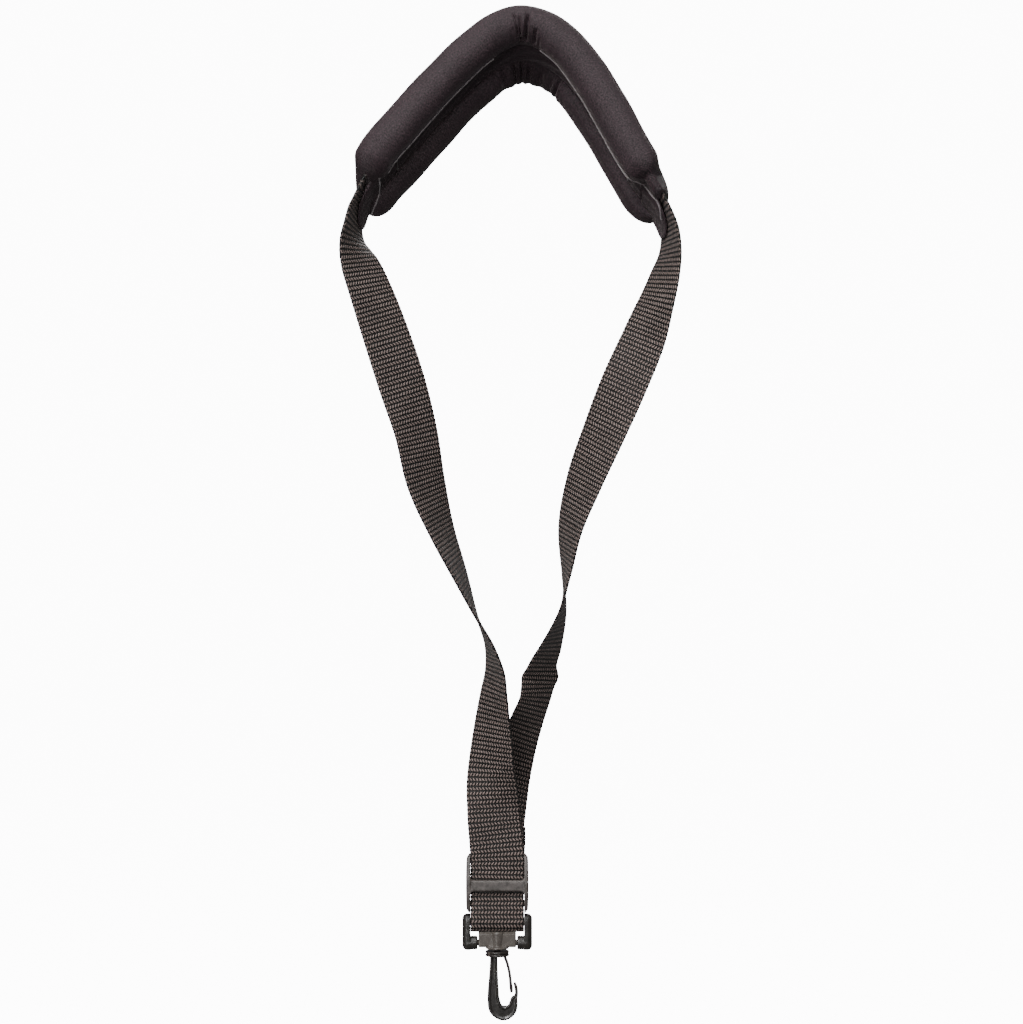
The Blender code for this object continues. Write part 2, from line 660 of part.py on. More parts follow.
def main():
    clear_scene()
    knit = finish_of("knit cover", CHARCOAL, 0.75)
    foam = finish_of("foam", FOAM, 0.95)
    cord = finish_of("welt cord", CHARCOAL, 0.6)
    webbing = finish_of("webbing", WEB_BROWN, 0.7)
    sewing = finish_of("sewing thread", WEB_BROWN, 0.5)
    pad_cover(knit)
    foam_roll("foam_roll_front", -1, foam)
    foam_roll("foam_roll_back", 1, foam)
    foam_core(foam)
    seam_welt(cord)
    pad_web(webbing)
    stations = len(arch_frames()[0])
    pad_tack("pad_tack_left", 3, sewing)
    pad_tack("pad_tack_right", stations - 4, sewing)
    web, _ = web_in_pad()
    left_leg(web[0], unit(web[0] - web[1]), webbing)
    right_leg(web[-1], unit(web[-1] - web[-2]), webbing)
    slide_loop(webbing)
    slide_stitch(sewing)
    yoke_stitch(sewing)
    for build, name, roughness in (
        (slide_adjuster, "slide plastic", 0.5),
        (yoke, "yoke plastic", 0.45),
        (pivot_block, "block plastic", 0.35),
        (swivel_hook, "hook plastic", 0.4),
        (hook_gate, "gate plastic", 0.4),
    ):
        build(finish_of(name, PLASTIC, roughness))
    joint_axes()


main()
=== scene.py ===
# %% [markdown]
# # Saxophone neck strap
# This notebook dresses the bare model of a neck strap: a padded collar, a long loop of woven webbing, a
# plastic slide that sets the length, and a swivelling snap hook. The bare model already has the right sizes
# and joints, so each step here only adds shape and finish on top of it. Lengths are in metres unless a name
# ends in `_mm`.

# %% Load the bare model
import json
import math

import bpy
import numpy as np
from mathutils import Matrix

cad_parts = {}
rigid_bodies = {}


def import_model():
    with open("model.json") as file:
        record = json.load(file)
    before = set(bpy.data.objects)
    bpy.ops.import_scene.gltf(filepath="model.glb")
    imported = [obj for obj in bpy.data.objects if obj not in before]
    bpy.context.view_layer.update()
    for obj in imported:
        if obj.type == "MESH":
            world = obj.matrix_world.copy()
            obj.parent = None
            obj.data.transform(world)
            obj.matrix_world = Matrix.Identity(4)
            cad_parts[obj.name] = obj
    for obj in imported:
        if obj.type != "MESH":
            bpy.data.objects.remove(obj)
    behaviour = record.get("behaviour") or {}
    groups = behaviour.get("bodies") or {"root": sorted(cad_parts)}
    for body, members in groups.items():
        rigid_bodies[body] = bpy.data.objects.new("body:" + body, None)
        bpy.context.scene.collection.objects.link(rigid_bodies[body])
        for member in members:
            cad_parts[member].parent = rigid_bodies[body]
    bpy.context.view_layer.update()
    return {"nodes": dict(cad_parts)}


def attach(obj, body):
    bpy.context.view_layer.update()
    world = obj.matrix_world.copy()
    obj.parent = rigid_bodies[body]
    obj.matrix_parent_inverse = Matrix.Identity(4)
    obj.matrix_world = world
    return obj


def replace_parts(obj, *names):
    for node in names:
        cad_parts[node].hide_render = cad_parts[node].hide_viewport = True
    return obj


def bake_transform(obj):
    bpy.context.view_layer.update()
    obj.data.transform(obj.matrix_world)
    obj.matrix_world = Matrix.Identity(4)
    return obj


for item in list(bpy.data.objects):
    bpy.data.objects.remove(item, do_unlink=True)
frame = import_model()
nodes = frame["nodes"]
MM = 0.001

# %% [markdown]
# ## Camera
# The strap hangs at eye level and is seen straight from the front, from a little over a metre away. A longer
# lens at that distance keeps the pad, which leans towards us, from looking swollen.

# %% Place the camera
VIEW_DISTANCE = 1.25
VIEW_WIDTH = 0.490
camera_data = bpy.data.cameras.new("camera")
camera_data.sensor_fit = "HORIZONTAL"
camera_data.sensor_width = 36
camera_data.lens = 36 * VIEW_DISTANCE / VIEW_WIDTH
camera_data.clip_start = 0.05
camera_data.clip_end = 20
camera = bpy.data.objects.new("camera", camera_data)
camera.location = (-0.0041, -VIEW_DISTANCE, -0.216)
camera.rotation_euler = (math.pi / 2, 0, 0)
bpy.context.scene.collection.objects.link(camera)
bpy.context.scene.camera = camera
print("lens:", round(camera_data.lens, 1), "mm")

# %% [markdown]
# ## Node helpers
# Every finish below is a small graph of shader nodes. Four short helpers keep those graphs readable: one adds
# a node and wires it up, one does arithmetic, one mixes two colours, and one turns a value into a grey level.

# %% Node helpers for materials


def add_node(tree, kind, inputs=None, **settings):
    """Adds a node, sets it up, connects or fills its inputs, and returns its first output."""
    made = tree.nodes.new(kind)
    for name, value in settings.items():
        setattr(made, name, value)
    for key, value in (inputs or {}).items():
        if isinstance(value, bpy.types.NodeSocket):
            tree.links.new(value, made.inputs[key])
        else:
            made.inputs[key].default_value = value
    return made.outputs[0]


def calc(tree, operation, *values):
    """A Math node on numbers or sockets."""
    return add_node(tree, "ShaderNodeMath", dict(enumerate(values)), operation=operation)


def blend_colours(tree, share, low, high):
    """A colour between two others, by a share from 0 to 1."""
    made = tree.nodes.new("ShaderNodeMix")
    made.data_type = "RGBA"
    for key, value in ((0, share), (6, low), (7, high)):
        if isinstance(value, bpy.types.NodeSocket):
            tree.links.new(value, made.inputs[key])
        else:
            made.inputs[key].default_value = value
    return made.outputs[2]


def ramp(tree, value, *stops):
    """A colour ramp, with stops as (position, grey level)."""
    made = tree.nodes.new("ShaderNodeValToRGB")
    tree.links.new(value, made.inputs[0])
    points = made.color_ramp.elements
    while len(points) < len(stops):
        points.new(0.5)
    for point, (place, grey) in zip(points, stops):
        point.position = place
        point.color = (grey, grey, grey, 1)
    return made.outputs[0]


def new_material(name, **values):
    """A material with its Principled shader, whose plain sockets are set by name."""
    material = bpy.data.materials.new(name)
    material.use_nodes = True
    shader = material.node_tree.nodes["Principled BSDF"]
    for key, value in values.items():
        shader.inputs[key.replace("_", " ")].default_value = value
    return material, material.node_tree, shader


def cloth_coordinates(tree):
    """The mesh's own flat coordinates: the whole vector, then the ones across and along the fabric."""
    vector = add_node(tree, "ShaderNodeAttribute", attribute_name="cloth").node.outputs["Vector"]
    split = add_node(tree, "ShaderNodeSeparateXYZ", {0: vector}).node
    return vector, split.outputs[0], split.outputs[1]


print("helpers ready")

# %% [markdown]
# ## Floor
# A studio sweep is one surface that is floor underfoot and wall all round, with a wide curve between, so that
# no horizon shows from any side. It is made from a disc, whose rim is pulled outwards and up in steps. It
# glows white by itself and is kept out of reflections and bounced light, so that it stays clean whatever the
# lamps do and doesn't wash out the dark strap.

# %% Make the studio sweep
bpy.ops.object.select_all(action="DESELECT")
bpy.ops.mesh.primitive_circle_add(vertices=96, radius=4.0, fill_type="NGON", location=(0, 0, -0.62))
sweep = bpy.context.object
sweep.name = "studio_sweep"
bpy.ops.object.mode_set(mode="EDIT")
bpy.ops.mesh.select_all(action="SELECT")
for widen, lift in ((1.10, 0.05), (1.08, 0.16), (1.05, 0.34), (1.02, 0.60), (1.0, 5.0)):
    bpy.ops.mesh.select_mode(type="EDGE")
    bpy.ops.mesh.region_to_loop()
    bpy.ops.mesh.extrude_edges_move(TRANSFORM_OT_translate={"value": (0, 0, lift)})
    bpy.ops.transform.resize(value=(widen, widen, 1), center_override=(0, 0, 0))
    bpy.ops.mesh.select_mode(type="VERT")
    bpy.ops.mesh.select_all(action="SELECT")
bpy.ops.mesh.normals_make_consistent(inside=True)
bpy.ops.object.mode_set(mode="OBJECT")
bpy.ops.object.transform_apply(location=True, rotation=True, scale=True)
bpy.ops.object.shade_smooth_by_angle(angle=math.radians(40))
paper, tree, shader = new_material("studio paper", Roughness=0.9)
grain = add_node(tree, "ShaderNodeTexNoise", {"Scale": 3.0})
paper_colour = blend_colours(tree, grain, (0.86, 0.86, 0.86, 1), (0.9, 0.9, 0.9, 1))
tree.links.new(paper_colour, shader.inputs["Base Color"])
shader.inputs["Emission Color"].default_value = (1, 1, 1, 1)
shader.inputs["Emission Strength"].default_value = 12.0
sweep.visible_diffuse = False
sweep.visible_glossy = False
sweep.visible_shadow = False
sweep.data.materials.append(paper)
print("sweep faces:", len(sweep.data.polygons))

# %% [markdown]
# ## Light
# The strap is almost black, so what we see on it is mostly light reflected in its sheen. Big soft panels from
# the front and one from above give the broad highlights along the pad. A small low one lifts the block and
# the hook, and one behind lights the far side.

# %% Hang the lights
world = bpy.data.worlds.new("studio air")
world.use_nodes = True
world.node_tree.nodes["Background"].inputs["Color"].default_value = (1, 1, 1, 1)
world.node_tree.nodes["Background"].inputs["Strength"].default_value = 0.19
bpy.context.scene.world = world


def soft_panel(name, place, target, size, power):
    """A square area light, aimed at a point."""
    data = bpy.data.lights.new(name, "AREA")
    data.size = size
    data.energy = power
    lamp = bpy.data.objects.new(name, data)
    lamp.location = place
    away = [a - b for a, b in zip(place, target)]
    tip = math.atan2(math.hypot(away[0], away[1]), away[2])
    lamp.rotation_euler = (tip, 0, math.atan2(away[0], -away[1]))
    bpy.context.scene.collection.objects.link(lamp)


soft_panel("key panel", (-0.65, -1.3, 0.85), (0, 0, -0.15), 0.5, 36)
soft_panel("fill panel", (0.45, -1.4, 0.75), (0, 0, -0.15), 0.6, 10)
soft_panel("low panel", (-0.4, -1.5, -0.2), (0, 0, -0.35), 0.4, 9)
soft_panel("top panel", (0.0, -0.25, 1.1), (0, 0, 0), 0.6, 8)
soft_panel("barrel panel", (-0.5, -1.3, -0.8), (0, 0, -0.42), 0.16, 2.2)
soft_panel("back panel", (0.3, 1.3, 0.7), (0, 0, -0.15), 0.7, 8)

# %% [markdown]
# ## Finish: woven webbing
# Strap webbing is woven from thick, slightly shiny yarn. Each yarn shows on top for a short slanting stretch,
# and the slant flips from row to row, so the surface reads as rows of small chevrons with dark gaps. The
# pattern has to follow the strap as it twists, so the mesh carries its own flat coordinates, in millimetres
# across and along, in an attribute called `cloth`. Simple arithmetic on them gives each yarn a rounded top,
# which drives both the colour and the bump. The colour paints the light: a near-black painted shade in the
# gaps and a painted highlight on each yarn's crest.

# %% Webbing material
YARN_ROW, YARN_SPACING = 2.13, 1.56


def webbing_material(name, gap, top):
    """Rows of rounded, slanting yarns, coloured from a near-black painted shade in the gaps to the yarn
    colour with a painted highlight on the tops.
    """
    material, tree, shader = new_material(name, Roughness=0.5)
    shader.inputs["Sheen Weight"].default_value = 0.05
    shader.inputs["Sheen Roughness"].default_value = 0.4
    shader.inputs["Specular IOR Level"].default_value = 0.28
    vector, across, along = cloth_coordinates(tree)
    wobble = add_node(tree, "ShaderNodeTexNoise", {"Vector": vector, "Scale": 0.35, "Detail": 2.0})
    along = calc(tree, "MULTIPLY_ADD", wobble, 0.12, along)
    row = calc(tree, "DIVIDE", along, YARN_ROW)
    odd = calc(tree, "MODULO", calc(tree, "FLOOR", row), 2.0)
    slant = calc(tree, "MULTIPLY_ADD", calc(tree, "ABSOLUTE", odd), -1.5, 0.75)
    in_row = calc(tree, "SUBTRACT", calc(tree, "FRACT", row), 0.5)
    sideways = calc(tree, "MULTIPLY", slant, in_row)
    shifted = calc(tree, "ADD", calc(tree, "DIVIDE", across, YARN_SPACING), sideways)
    in_yarn = calc(tree, "SUBTRACT", calc(tree, "FRACT", shifted), 0.5)
    side = calc(tree, "POWER", calc(tree, "MULTIPLY", calc(tree, "ABSOLUTE", in_yarn), 2.35), 2.0)
    end = calc(tree, "POWER", calc(tree, "MULTIPLY", calc(tree, "ABSOLUTE", in_row), 2.3), 3.0)
    roundness = calc(tree, "MAXIMUM", calc(tree, "SUBTRACT", 1.0, calc(tree, "ADD", side, end)), 0.0)
    height = calc(tree, "SQRT", roundness)
    fibre_grid = add_node(tree, "ShaderNodeMapping", {"Vector": vector, "Scale": (9.0, 1.6, 1.0)})
    fibre = add_node(tree, "ShaderNodeTexNoise", {"Vector": fibre_grid, "Scale": 1.0, "Detail": 3.0})
    patch = add_node(tree, "ShaderNodeTexNoise", {"Vector": vector, "Scale": 0.11, "Detail": 2.0})
    streaks = calc(tree, "MULTIPLY_ADD", fibre, 0.5, 0.7)
    # lit is the share of the yarn colour: a painted highlight on each yarn's crest, broken by fibre streaks
    # and random patches. Its low values give the painted shade of the gaps.
    lit = calc(tree, "MULTIPLY", calc(tree, "POWER", height, 3.2), streaks)
    lit = calc(tree, "MULTIPLY", lit, calc(tree, "MULTIPLY_ADD", patch, 0.8, 0.6))
    tree.links.new(blend_colours(tree, lit, (*gap, 1), (*top, 1)), shader.inputs["Base Color"])
    relief = calc(tree, "MULTIPLY_ADD", fibre, 0.18, height)
    bump = add_node(tree, "ShaderNodeBump", {"Height": relief, "Distance": 0.0005, "Strength": 0.9})
    tree.links.new(bump, shader.inputs["Normal"])
    return material


# First colour: the near-black painted shade in the gaps between yarns. Second: the yarn colour with its
# painted highlight.
webbing_finish = webbing_material("webbing weave", (0.0004, 0.0003, 0.0003), (0.200, 0.150, 0.134))
print("webbing nodes:", len(webbing_finish.node_tree.nodes))

# %% [markdown]
# ## Finish: knitted cover
# The pad's cover is a fine stretch knit with a soft bloom. Its loops are about half a millimetre across, far
# smaller than the webbing's yarns, so they only show as grain. A sheen layer gives the bloom: it lightens the
# fabric where it turns away from us, which is what makes a roll look round.

# %% Knit material
knit_finish, tree, shader = new_material("knit cover", Roughness=0.62)
shader.inputs["Sheen Weight"].default_value = 0.1
shader.inputs["Sheen Roughness"].default_value = 0.35
shader.inputs["Sheen Tint"].default_value = (0.85, 0.74, 0.74, 1)
shader.inputs["Specular IOR Level"].default_value = 0.3
vector, around, along = cloth_coordinates(tree)
rib = calc(tree, "SINE", calc(tree, "MULTIPLY", calc(tree, "MULTIPLY_ADD", along, 0.35, around), 6.6))
course = calc(tree, "SINE", calc(tree, "MULTIPLY", calc(tree, "MULTIPLY_ADD", around, -0.3, along), 8.2))
loops = calc(tree, "MULTIPLY_ADD", calc(tree, "MULTIPLY", rib, course), 0.5, 0.5)
fuzz = add_node(tree, "ShaderNodeTexNoise", {"Vector": vector, "Scale": 1.3, "Detail": 4.0, "Roughness": 0.7})
bloom = add_node(tree, "ShaderNodeTexNoise", {"Vector": vector, "Scale": 0.06, "Detail": 3.0})
loops = calc(tree, "MULTIPLY_ADD", loops, 0.8, 0.2)
speckle = ramp(tree, fuzz, (0.38, 0.1), (0.62, 1.15))
tone = calc(tree, "MULTIPLY", loops, speckle)
tone = calc(tree, "MULTIPLY", tone, calc(tree, "MULTIPLY_ADD", bloom, 0.9, 0.55))
knit_colour = blend_colours(tree, tone, (0.0018, 0.0010, 0.0015, 1), (0.050, 0.0285, 0.0355, 1))
tree.links.new(knit_colour, shader.inputs["Base Color"])
relief = calc(tree, "MULTIPLY_ADD", fuzz, 0.5, loops)
bump = add_node(tree, "ShaderNodeBump", {"Height": relief, "Distance": 0.0003, "Strength": 0.7})
tree.links.new(bump, shader.inputs["Normal"])
print("knit nodes:", len(tree.nodes))

# %% [markdown]
# ## Finish: thread and moulded plastic
# Sewing thread is twisted, so it gets fine slanting stripes. The slide, yoke, block and hook are injection
# moulded nylon: a faint grain on the faces, and edges painted paler as a painted rim highlight. Pointiness,
# which tells how sharply the surface bends at each place, finds those edges.

# %% Thread material
thread_finish, tree, shader = new_material("sewing thread", Roughness=0.45)
shader.inputs["Sheen Weight"].default_value = 0.3
spot = tree.nodes.new("ShaderNodeTexCoord").outputs["Object"]
twist = add_node(tree, "ShaderNodeTexWave", {"Vector": spot, "Scale": 900.0, "Distortion": 2.0}).node
shade = twist.outputs["Fac"]
thread_colour = blend_colours(tree, shade, (0.008, 0.007, 0.007, 1), (0.07, 0.06, 0.058, 1))
tree.links.new(thread_colour, shader.inputs["Base Color"])
bump = add_node(tree, "ShaderNodeBump", {"Height": shade, "Distance": 0.0001, "Strength": 0.5})
tree.links.new(bump, shader.inputs["Normal"])
print("thread nodes:", len(tree.nodes))

# %% Plastic material


def plastic_material(name, dark, pale, rim_highlight, roughness, grain_height):
    """Moulded plastic that wanders between two tones, with its edges painted paler to a third, a painted rim
    highlight.
    """
    material, tree, shader = new_material(name, Roughness=roughness)
    spot = tree.nodes.new("ShaderNodeTexCoord").outputs["Object"]
    soft_noise = {"Vector": spot, "Scale": 260.0, "Detail": 5.0, "Roughness": 0.65}
    cloud = add_node(tree, "ShaderNodeTexNoise", soft_noise)
    grain = add_node(tree, "ShaderNodeTexNoise", {"Vector": spot, "Scale": 1700.0, "Detail": 3.0})
    body = blend_colours(tree, ramp(tree, cloud, (0.38, 0.0), (0.68, 1.0)), (*dark, 1), (*pale, 1))
    geometry = add_node(tree, "ShaderNodeNewGeometry").node
    # The sharp edges, found by pointiness, are painted paler: a painted rim highlight.
    edges = ramp(tree, geometry.outputs["Pointiness"], (0.52, 0.0), (0.60, 1.0))
    rim_highlight_share = calc(tree, "MULTIPLY", edges, calc(tree, "MULTIPLY_ADD", cloud, 0.9, 0.15))
    tree.links.new(blend_colours(tree, rim_highlight_share, body, (*rim_highlight, 1)), shader.inputs["Base Color"])
    gloss = calc(tree, "MULTIPLY_ADD", cloud, 0.22, roughness - 0.1)
    tree.links.new(gloss, shader.inputs["Roughness"])
    bump = add_node(tree, "ShaderNodeBump", {"Height": grain, "Distance": grain_height, "Strength": 0.6})
    tree.links.new(bump, shader.inputs["Normal"])
    return material


# The third colour of each plastic is its painted rim highlight.
slide_finish = plastic_material(
    "slide plastic", (0.030, 0.025, 0.022), (0.084, 0.072, 0.067), (0.27, 0.235, 0.21), 0.42, 0.00012
)
# The barrel's tones are paler than those of the other mouldings: a painted highlight for the shine on the
# barrel.
barrel_finish_painted_highlight = plastic_material(
    "barrel plastic", (0.062, 0.053, 0.047), (0.078, 0.068, 0.060), (0.20, 0.175, 0.155), 0.26, 0.00003
)
hook_finish = plastic_material(
    "hook plastic", (0.008, 0.007, 0.006), (0.022, 0.019, 0.017), (0.24, 0.20, 0.175), 0.30, 0.00006
)
print("plastics:", slide_finish.name, hook_finish.name)

# %% [markdown]
# ## Helpers for strips and sleeves
# Webbing and sleeves are swept shapes: a small outline travels along a route and turns with it. A smooth
# curve through a few given rows gives the route. The mesh also records the flat `cloth` coordinates
# that the fabric finishes read.

# %% Sweep helpers


def smooth_rows(rows, count=None, step=0.6):
    """Rows on a smooth curve through the given rows, evenly spaced along its length, in millimetres."""
    rows = np.array(rows, float)
    reach = np.concatenate([[0], np.cumsum(np.linalg.norm(np.diff(rows[:, :3], axis=0), axis=1))])
    slopes = np.gradient(rows, reach, axis=0)
    if count is None:
        count = int(reach[-1] / step) + 1
    places = np.linspace(0, reach[-1], count)
    i = np.clip(np.searchsorted(reach, places, side="right") - 1, 0, len(rows) - 2)
    gap = (reach[i + 1] - reach[i])[:, None]
    t = (places - reach[i])[:, None] / gap
    return (
        (2 * t**3 - 3 * t**2 + 1) * rows[i]
        + (t**3 - 2 * t**2 + t) * gap * slopes[i]
        + (3 * t**2 - 2 * t**3) * rows[i + 1]
        + (t**3 - t**2) * gap * slopes[i + 1]
    )


def unit(vectors):
    """The same directions, each 1 long."""
    return vectors / np.linalg.norm(vectors, axis=-1, keepdims=True)


def swept(name, rings, cloth):
    """A closed mesh through rings of points in millimetres, with a cloth coordinate for every point."""
    rings = np.array(rings)
    total, count = rings.shape[:2]
    faces = []
    for row in range(total - 1):
        for i in range(count):
            j = (i + 1) % count
            low, high = row * count, (row + 1) * count
            faces.append((low + i, low + j, high + j, high + i))
    faces.append(tuple(reversed(range(count))))
    faces.append(tuple((total - 1) * count + i for i in range(count)))
    mesh = bpy.data.meshes.new(name)
    mesh.from_pydata((rings.reshape(-1, 3) * MM).tolist(), [], faces)
    attribute = mesh.attributes.new("cloth", "FLOAT_VECTOR", "POINT")
    attribute.data.foreach_set("vector", np.array(cloth, np.float32).reshape(-1))
    item = bpy.data.objects.new(name, mesh)
    bpy.context.scene.collection.objects.link(item)
    outwards(item)
    return item


def outwards(item):
    """Turns every face outwards and shades the mesh smooth."""
    bpy.ops.object.select_all(action="DESELECT")
    bpy.context.view_layer.objects.active = item
    item.select_set(True)
    bpy.ops.object.mode_set(mode="EDIT")
    bpy.ops.mesh.select_all(action="SELECT")
    bpy.ops.mesh.normals_make_consistent(inside=False)
    bpy.ops.object.mode_set(mode="OBJECT")
    bpy.ops.object.shade_smooth()


def woven_strip(name, points, across, widths, thickness, start_mm=0.0):
    """A strip of webbing along points. Its woven edges bulge a little at every row of yarn."""
    along = unit(np.gradient(points, axis=0))
    across = unit(across - np.sum(across * along, axis=1, keepdims=True) * along)
    up = np.cross(along, across)
    lengths = start_mm + np.concatenate([[0], np.cumsum(np.linalg.norm(np.diff(points, axis=0), axis=1))])
    shares = np.array([-1, -0.985, -0.94, -0.8, -0.5, -0.2, 0.2, 0.5, 0.8, 0.94, 0.985, 1])
    lifts = np.array([0.35, 0.75, 0.95, 1, 1, 1, 1, 1, 1, 0.95, 0.75, 0.35])
    outline = [*zip(shares, lifts), *zip(shares[::-1], -lifts[::-1])]
    rings, cloth = [], []
    for p, a, n, length, width in zip(points, across, up, lengths, widths):
        scallop = 0.10 * math.cos(2 * math.pi * length / YARN_ROW)
        for s, k in outline:
            half = width / 2 + scallop * (abs(s) > 0.9)
            rings.append(p + a * s * half + n * k * thickness / 2)
            cloth.append((s * width / 2, length, 0))
    rings = np.array(rings).reshape(len(points), len(outline), 3)
    return swept(name, rings, cloth)


def material_on(item, material):
    """Gives a piece its only material."""
    item.data.materials.clear()
    item.data.materials.append(material)


print("sweep helpers ready")

# %% [markdown]
# ## The pad
# The pad is a fabric sleeve over two foam rolls and the flat band between them. It arches over the neck and
# leans towards us, more at its ends than at its top. Its cross-section changes all the way along: the rolls
# close up towards the ends, the far roll is pressed flatter at the top of the arch, and the fabric bunches
# there because the inside of a bend has less room than the outside. So the outline is computed afresh at
# every station, and each wrinkle is a small push on it. A simulation would put the wrinkles where it likes,
# and these have to be where the bend puts them.

# %% The pad's arch
PAD_HALF_SPAN, PAD_RISE, PAD_LEAN = 70.0, 80.0, 0.31
ROLL_RADIUS, ROLL_SPACING, ROLL_LEVEL, BAND_LEVEL = 9.3, 31.0, -0.6, -4.2
WEB_LEVEL = 7.65
PAD_ARCH = (
    (-1.035, 0.916, 32), (-0.985, 0.825, 32), (-0.815, 0.641, 32), (-0.567, 0.383, 31),
    (-0.326, 0.160, 30), (-0.161, 0.050, 30), (0.000, 0.000, 29), (0.169, 0.032, 27),
    (0.310, 0.116, 25), (0.464, 0.280, 23), (0.605, 0.487, 21), (0.752, 0.737, 20),
    (0.856, 0.889, 20), (0.934, 1.000, 20),
)


def arch_frames(count):
    """Points on the arch in millimetres, with the directions to the back roll (u) and off the neck (v)."""
    height = ROLL_RADIUS - ROLL_LEVEL
    apex_y, apex_z = height * math.sin(math.radians(30)), height * math.cos(math.radians(30))
    rows = []
    for x, drop, tilt in PAD_ARCH:
        rows.append((x * PAD_HALF_SPAN, apex_y - PAD_LEAN * drop * PAD_RISE, apex_z - drop * PAD_RISE, tilt))
    rows = smooth_rows(rows, count)
    tilts = np.radians(rows[:, 3])
    u = np.stack([np.zeros(count), np.cos(tilts), -np.sin(tilts)], axis=1)
    v = unit(np.cross(unit(np.gradient(rows[:, :3], axis=0)), u))
    return rows[:, :3], u, v


arch, arch_u, arch_v = arch_frames(340)
from_left = np.concatenate([[0], np.cumsum(np.linalg.norm(np.diff(arch, axis=0), axis=1))])
pad_length = from_left[-1]
apex_at = from_left[np.argmax(arch[:, 2])]
print("pad length:", round(pad_length, 1), "mm, top of the arch at", round(apex_at, 1), "mm")

# %% The pad's outline at any station


def hump(value, middle, spread):
    """A smooth bump: 1 at the middle, and almost 0 beyond twice the spread."""
    return math.exp(-(((value - middle) / spread) ** 2))


def ease(value, low, high):
    """0 below low, 1 above high, and a smooth step between."""
    t = min(1.0, max(0.0, (value - low) / (high - low)))
    return t * t * (3 - 2 * t)


def closing(distance, reach, least):
    """How open a roll is: 1 away from its end, rounding down to a least value at it."""
    t = min(1.0, max(0.0, distance / reach))
    return least + (1 - least) * math.sqrt(1 - (1 - t) ** 2)


# each crease: place along the arch, lowest and highest angle on the roll, depth, width
FRONT_CREASES = (
    (-4.4, -68, -8, 2.0, 0.75), (-2.0, -76, -18, 2.2, 0.7), (3.1, -88, -10, 3.0, 0.9),
    (9.0, -94, -46, 2.1, 1.0), (12.5, -100, -60, 0.7, 1.4), (-8.0, -96, -50, 0.5, 1.4),
)


def front_wrinkles(angle, s):
    """Pushes on the front roll: short creases side by side at the arch's top, and a tuck joining them."""
    push = 0.0
    for spot, low, high, depth, width in FRONT_CREASES:
        reach = ease(angle, low - 14, low + 6) * (1 - ease(angle, high - 6, high + 14))
        push -= depth * hump(s, spot, width) * reach
    push -= 2.2 * hump(angle, -93, 7) * ease(s, -3.8, -1.8) * (1 - ease(s, 2.6, 4.4))
    push += 0.9 * hump(s, -5.8, 1.2) * hump(angle, -35, 32) + 1.0 * hump(s, 0.4, 1.8) * hump(angle, -30, 34)
    push += 0.7 * hump(s, 5.6, 1.4) * hump(angle, -45, 32)
    push -= 1.0 * hump(s, 1.5, 10.0) * hump(angle, -75, 40)
    push += 0.14 * math.sin(s / 11.3 + angle / 40) + 0.07 * math.sin(s / 4.1 - angle / 23)
    push -= 0.8 * hump(angle, -124, 6)
    return push


def back_wrinkles(angle, s):
    """Pushes on the back roll: gathered pleats on the inside of the bend, one sharp tuck beside them."""
    inside = hump(angle, -108, 56)
    gathered = hump(s, 2.0, 15.0)
    pleat = 0.5 + 0.5 * math.cos(2 * math.pi * (s + 1.6 * math.sin(s / 4.0)) / 6.2)
    push = -2.9 * gathered * inside * pleat**1.6
    fine = 0.5 + 0.5 * math.cos(2 * math.pi * (s + 0.02 * angle) / 3.3)
    push -= 0.7 * hump(s, -1.0, 10.0) * inside * fine
    push -= 2.9 * inside * hump(s, 24.5, 1.6)
    push -= 2.4 * inside * ease(s, -22, -10) * (1 - ease(s, 20.0, 24.0))
    push += 0.2 * math.sin(s / 9.1 - angle / 33) + 0.1 * math.sin(s / 3.9 + angle / 19)
    return push


def end_folds(angle, distance):
    """Long shallow folds that run out of a closed end."""
    return -0.55 * (1 - ease(distance, 2, 22)) * (0.5 + 0.5 * math.cos(math.radians(angle) * 7))


def pad_state(station):
    """The distances from the arch's top and right end, how open each roll and the band are, half the gap."""
    distance = from_left[station]
    to_end = pad_length - distance
    near = min(distance, to_end)
    open_front = min(closing(distance, 6, 0.3), closing(to_end - 9.0, 8, 0.3))
    open_back = min(closing(distance + 0.5, 13, 0.3), closing(to_end + 0.5, 17, 0.28))
    flat = closing(near + 0.5, 15, 0.34)
    half_gap = ROLL_SPACING / 2 - 3.2 * (1 - closing(near, 20, 0.0))
    return distance - apex_at, to_end, open_front, open_back, flat, half_gap


